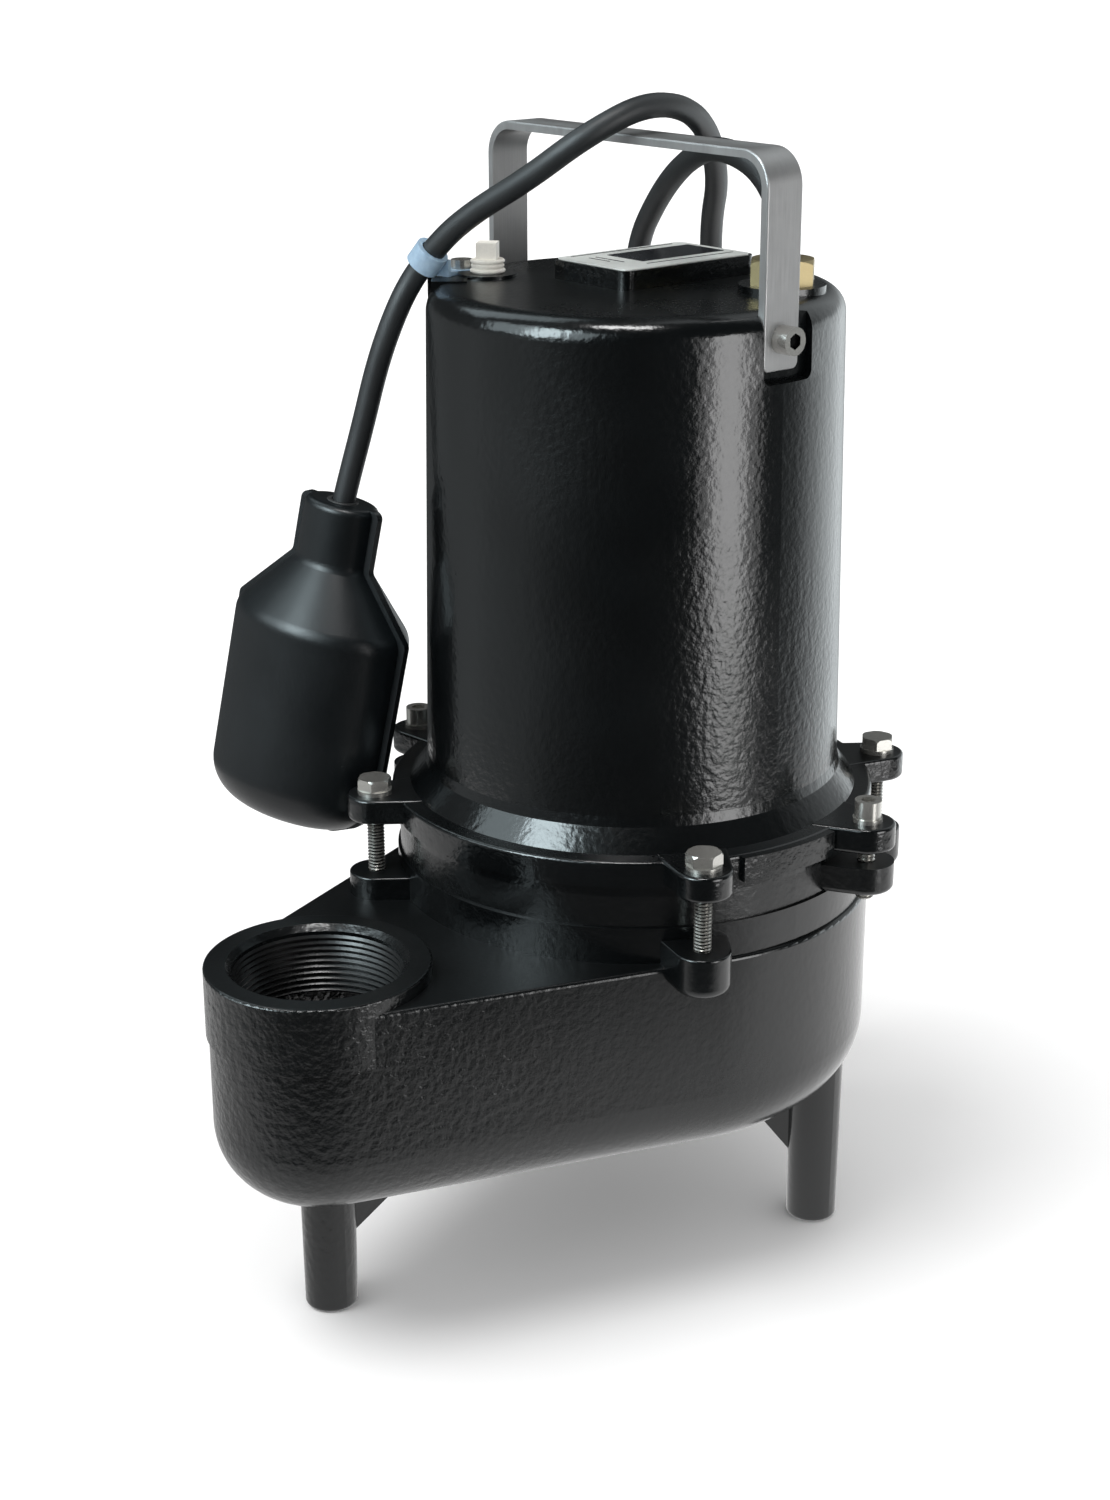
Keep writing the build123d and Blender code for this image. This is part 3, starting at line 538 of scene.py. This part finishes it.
def finish_mesh(name, mesh, material, body, smooth=35.0):
    bmesh.ops.recalc_face_normals(mesh, faces=mesh.faces)
    data = bpy.data.meshes.new(name)
    mesh.to_mesh(data)
    mesh.free()
    data.materials.append(material)
    obj = new_object(name, data)
    for polygon in data.polygons:
        polygon.use_smooth = True
    data.set_sharp_from_angle(angle=math.radians(smooth))
    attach(obj, body)
    return obj


def lathe(name, profile, centre, material, body, sides=96, axis=None, smooth=35.0):
    # closed profile of (radius, height) in mm turned about an upright axis, or about a given one
    mesh = bmesh.new()
    rings = []
    turn = Vector((0, 0, 1)).rotation_difference(Vector(axis)).to_matrix() if axis else Matrix.Identity(3)
    for k in range(sides):
        angle = 2 * math.pi * k / sides
        rings.append([mesh.verts.new(Vector(centre) * MM + turn @ (Vector(
            (r * math.cos(angle), r * math.sin(angle), z)) * MM)) for r, z in profile])
    count = len(profile)
    for k in range(sides):
        a, b = rings[k], rings[(k + 1) % sides]
        for j in range(count):
            n = (j + 1) % count
            mesh.faces.new((a[j], b[j], b[n], a[n]))
    return finish_mesh(name, mesh, material, body, smooth)


def rounded_slab(name, x0, x1, y0, y1, z0, z1, corner, material, body, steps=5):
    mesh = bmesh.new()
    outline = []
    for cx, cy, first in ((x1 - corner, y1 - corner, 0), (x0 + corner, y1 - corner, 90),
                          (x0 + corner, y0 + corner, 180), (x1 - corner, y0 + corner, 270)):
        for k in range(steps + 1):
            angle = math.radians(first + 90 * k / steps)
            outline.append((cx + corner * math.cos(angle), cy + corner * math.sin(angle)))
    low = [mesh.verts.new(Vector((x, y, z0)) * MM) for x, y in outline]
    high = [mesh.verts.new(Vector((x, y, z1)) * MM) for x, y in outline]
    mesh.faces.new(high)
    mesh.faces.new(list(reversed(low)))
    for k in range(len(outline)):
        n = (k + 1) % len(outline)
        mesh.faces.new((low[k], low[n], high[n], high[k]))
    return finish_mesh(name, mesh, material, body)


# ---------------------------------------------------------------- discharge thread
# tapered pipe thread in the outlet, all in mm
boss_x, boss_y, boss_top = 2.0, -144.0, 142.3
thread_turns = 10
thread_pitch = 2.21
thread_depth_at_start = 25.4
thread_root = 29.15
thread_crest = 28.0
crest_taper = 0.06
buried = 29.6
thread_profile = [(buried, boss_top - thread_depth_at_start - 0.2)]
for k in range(thread_turns):
    foot = boss_top - thread_depth_at_start + k * thread_pitch
    inner = thread_crest + crest_taper * k
    thread_profile += [(thread_root, foot), (inner, foot + 0.85)]
    thread_profile += [(inner, foot + 1.15), (thread_root, foot + 2.0)]
thread_profile.append((buried, boss_top - 2.9))
bore_dark = enamel_material("enamel_in_bore", 0.0001, 0.00003, 0.3, (0.006, 0.0062, 0.0065))
lathe("discharge_thread_ridges", thread_profile, (boss_x, boss_y, 0), bore_dark, "base",
      sides=128, smooth=20.0)

# ---------------------------------------------------------------- label
dark_window = plastic_material("printed_dark_window", (0.02, 0.022, 0.026), 0.25, 500.0, 0.00001)
label_top = 363.0
label_sunk = label_top - 0.1
rounded_slab("label_window", -20.0, -0.8, 4.0, 43.0, label_sunk, label_top + 0.12, 0.6, dark_window,
             "base")
# plain printed rules, each from x0 to x1 and y0 to y1
label_rules = (
    (-25.5, -24.7, -8.0, 40.0),
    (3.2, 3.9, 2.0, 43.0),
    (-19.0, -4.0, -2.2, -1.5),
    (-19.0, -8.0, -5.2, -4.6),
)
for index, (x0, x1, y0, y1) in enumerate(label_rules):
    rounded_slab("label_rule_%d" % index, x0, x1, y0, y1, label_sunk, label_top + 0.08, 0.2, dark_window,
                 "base", 2)

# ---------------------------------------------------------------- washers under the fill plug
# each washer's lower face and outer radius
plug_x, plug_y = -46.5, -28.4
washer_hole, washer_thickness, washer_round = 4.0, 1.4, 0.5
for index, (foot, reach) in enumerate(((357.3, 6.3), (359.0, 5.9), (360.6, 6.1))):
    profile = [(washer_hole, foot), (reach - washer_round, foot), (reach, foot + 0.45), (reach, foot + 0.95),
               (reach - washer_round, foot + washer_thickness), (washer_hole, foot + washer_thickness)]
    lathe("fill_plug_washer_%d" % index, profile, (plug_x, plug_y, 0), zinc, "base", sides=48)

# ---------------------------------------------------------------- strain reliefs on the plugs
RELIEF_STEPS = 24
RELIEF_RADIUS = 8.2
RELIEF_TAPER = 3.0
RELIEF_GROOVE = 0.9


def relief(name, mouth, back, length, body):
    # tapered ribbed sleeve from the plug's mouth back over the cord
    start = Vector(mouth) * MM
    way = (Vector(back) * MM - start).normalized()
    points = [start + way * (length * MM * t / RELIEF_STEPS) for t in range(RELIEF_STEPS + 1)]
    radii = []
    for t in range(RELIEF_STEPS + 1):
        radius = RELIEF_RADIUS - RELIEF_TAPER * (t / RELIEF_STEPS) ** 0.8
        if t % 4 == 3 and 3 < t < RELIEF_STEPS - 1:
            radius -= RELIEF_GROOVE
        radii.append(radius * MM)
    obj = tube_along(name, points, radii, vinyl, 24)
    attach(obj, body)
    return obj


power_relief = relief(
    "power_plug_strain_relief", aft(-57.0, 243.0, 9.0), aft(-57.2, 222.0, 9.4), 24.0, "base")
float_relief = relief(
    "float_plug_strain_relief", aft(21.0, 222.2, 60.2), aft(40.0, 212.0, 57.0), 16.0, "base")
# rubber seal in the float's neck, which leans the way the cord hangs
neck_place = (-81.6, -69.2, 274.5)
neck_axis = (0.1226, 0.1462, 0.9816)
neck_profile = [(4.25, -6.0), (6.6, -6.0), (6.6, -1.0), (5.6, 0.4), (4.25, 0.4)]
lathe("float_neck_seal", neck_profile, neck_place, seal_rubber, "float", sides=40,
      axis=neck_axis)

# ---------------------------------------------------------------- stage and lights


def floor_material():
    material, _, shader = node_material("pale_floor")
    shader.inputs["Base Color"].default_value = (0.93, 0.93, 0.93, 1.0)
    shader.inputs["Roughness"].default_value = 0.9
    shader.inputs["Specular IOR Level"].default_value = 0.0
    return material


def glow_material(name, strength):
    # plain emission, which the lines that follow may vary over the surface
    material = bpy.data.materials.new(name)
    material.use_nodes = True
    tree = material.node_tree
    tree.nodes.clear()
    out = tree.nodes.new("ShaderNodeOutputMaterial")
    glow = tree.nodes.new("ShaderNodeEmission")
    glow.inputs["Color"].default_value = (1.0, 1.0, 1.0, 1.0)
    glow.inputs["Strength"].default_value = strength
    tree.links.new(glow.outputs[0], out.inputs[0])
    return material, tree, glow


def disc(name, radius, z, material):
    mesh = bmesh.new()
    bmesh.ops.create_circle(mesh, cap_ends=True, segments=96, radius=radius)
    data = bpy.data.meshes.new(name)
    mesh.to_mesh(data)
    mesh.free()
    data.materials.append(material)
    obj = new_object(name, data)
    obj.location.z = z
    return obj


floor = disc("studio_floor", 14.0, -0.0004, floor_material())
floor.visible_glossy = False


def dome(name, radius, material):
    mesh = bmesh.new()
    bmesh.ops.create_uvsphere(mesh, u_segments=48, v_segments=24, radius=radius)
    data = bpy.data.meshes.new(name)
    mesh.to_mesh(data)
    mesh.free()
    data.materials.append(material)
    obj = new_object(name, data)
    obj.visible_shadow = False
    return obj


# white backdrop that only the camera sees
backdrop = dome("studio_backdrop", 15.0, glow_material("studio_backdrop", 1.0)[0])
backdrop.visible_diffuse = False
backdrop.visible_glossy = False
backdrop.visible_transmission = False
ROOM_RADIUS = 13.0
ROOM_PEAK = 2.5
ROOM_TINT = (0.92, 0.98, 1.0)
VIEW_TURN = math.radians(40.0)
# brightness of the surroundings that only the gloss shows, by angle to the right of the camera's side
ROOM_BY_ANGLE = (
    (-180, 0.06), (-160, 0.08), (-120, 0.30), (-98, 0.50), (-63, 0.42), (-43, 0.18), (-24, 0.07), (-6, 0.03),
    (14, 0.04), (80, 0.10), (93, 0.30), (107, 1.2), (124, 2.1), (148, 1.9), (170, 0.3), (180, 0.06))
# the share of it that is left, from straight down at 0 to straight up at 1
ROOM_BY_HEIGHT = ((0.0, 1.0), (0.515, 1.0), (0.58, 0.42), (1.0, 0.40))
room_glow, room_tree, glow = glow_material("studio_room", ROOM_PEAK)
room = dome("studio_room", ROOM_RADIUS, room_glow)
around = separate(room_tree, place(room_tree, (1 / ROOM_RADIUS,) * 3, (0, 0, VIEW_TURN)))
angle = maths(room_tree, "ARCTAN2", around[1], around[0])
by_angle = colours(room_tree, ramp(room_tree, angle, 0.0, 1.0, (-math.pi, math.pi)),
                   [((turn + 180) / 360, tuple(tint * level / ROOM_PEAK for tint in ROOM_TINT))
                    for turn, level in ROOM_BY_ANGLE])
by_height = colours(room_tree, ramp(room_tree, around[2], 0.0, 1.0, (-1.0, 1.0)),
                    [(height, (share,) * 3) for height, share in ROOM_BY_HEIGHT])
both = room_tree.nodes.new("ShaderNodeMix")
both.data_type = "RGBA"
both.blend_type = "MULTIPLY"
both.inputs["Factor"].default_value = 1.0
room_tree.links.new(by_angle, both.inputs["A"])
room_tree.links.new(by_height, both.inputs["B"])
room_tree.links.new(both.outputs["Result"], glow.inputs["Color"])
room.visible_camera = False
room.visible_diffuse = False

# bright table top that only the gloss shows, brighter toward the right and fading at the front
card_material, card_tree, card_glow = glow_material("table_top_glow", 1.0)
card = disc("table_top_glow", 0.55, -0.0002, card_material)
across = separate(card_tree, place(card_tree, (1, 1, 1), (0, 0, VIEW_TURN)))
to_right = ramp(card_tree, across[1], 0.85, 1.5, (-0.12, 0.30))
to_front = ramp(card_tree, across[0], 1.0, 0.05, (0.18, 0.36))
card_tree.links.new(maths(card_tree, "MULTIPLY", to_right, to_front), card_glow.inputs["Strength"])
card.visible_camera = False
card.visible_diffuse = False
card.visible_shadow = False
card.visible_transmission = False

world = bpy.data.worlds.new("studio")
scene.world = world
world.use_nodes = True
world.node_tree.nodes["Background"].inputs[0].default_value = (1.0, 1.0, 1.0, 1.0)
world.node_tree.nodes["Background"].inputs[1].default_value = 0.95
world.cycles_visibility.glossy = False
world.cycles_visibility.camera = False


def direction(azimuth, elevation):
    # azimuth from the camera's side of the object, positive to the camera's right
    a, e = math.radians(azimuth) - VIEW_TURN, math.radians(elevation)
    return Vector((math.cos(a) * math.cos(e), math.sin(a) * math.cos(e), math.sin(e)))


SOFTBOX_TARGET = Vector((0.0, 0.0, 0.2))
WHITE = (1.0, 1.0, 1.0)
SKY = (0.80, 0.95, 1.0)


def softbox(name, azimuth, elevation, distance, width, height, power, colour):
    # area light aimed at the object, seen only in its gloss
    data = bpy.data.lights.new(name, "AREA")
    data.shape = "RECTANGLE"
    data.size, data.size_y = width, height
    data.energy = power
    data.color = colour
    obj = new_object(name, data)
    obj.location = SOFTBOX_TARGET + direction(azimuth, elevation) * distance
    obj.rotation_euler = (-direction(azimuth, elevation)).to_track_quat("-Z", "Y").to_euler()
    obj.visible_camera = False
    obj.visible_diffuse = False


# azimuth and elevation in degrees, distance, width and height in metres, power in watts
softbox("key_softbox", 49.0, 2.0, 1.5, 0.5, 1.2, 8.5, WHITE)
softbox("key_wide_softbox", 50.0, 3.0, 1.7, 1.1, 1.2, 7.0, WHITE)
softbox("overhead_softbox", -14.0, 72.0, 1.3, 0.42, 0.26, 7.0, WHITE)
softbox("high_back_left_softbox", -125.0, 55.0, 1.3, 0.5, 0.8, 2.5, SKY)
softbox("high_left_softbox", -52.0, 32.0, 1.5, 0.5, 0.9, 18.0, SKY)
softbox("high_left_wide_softbox", -58.0, 31.0, 1.6, 1.8, 0.9, 16.0, SKY)

# the sun gives the soft shadow on the floor
sun_data = bpy.data.lights.new("window", "SUN")
sun_data.energy = 1.6
sun_data.angle = math.radians(30.0)
sun = new_object("window", sun_data)
sun.rotation_euler = (-direction(-61.0, 62.0)).to_track_quat("-Z", "Y").to_euler()
sun.visible_glossy = False
scene.view_settings.view_transform = "Standard"
scene.view_settings.look = "None"
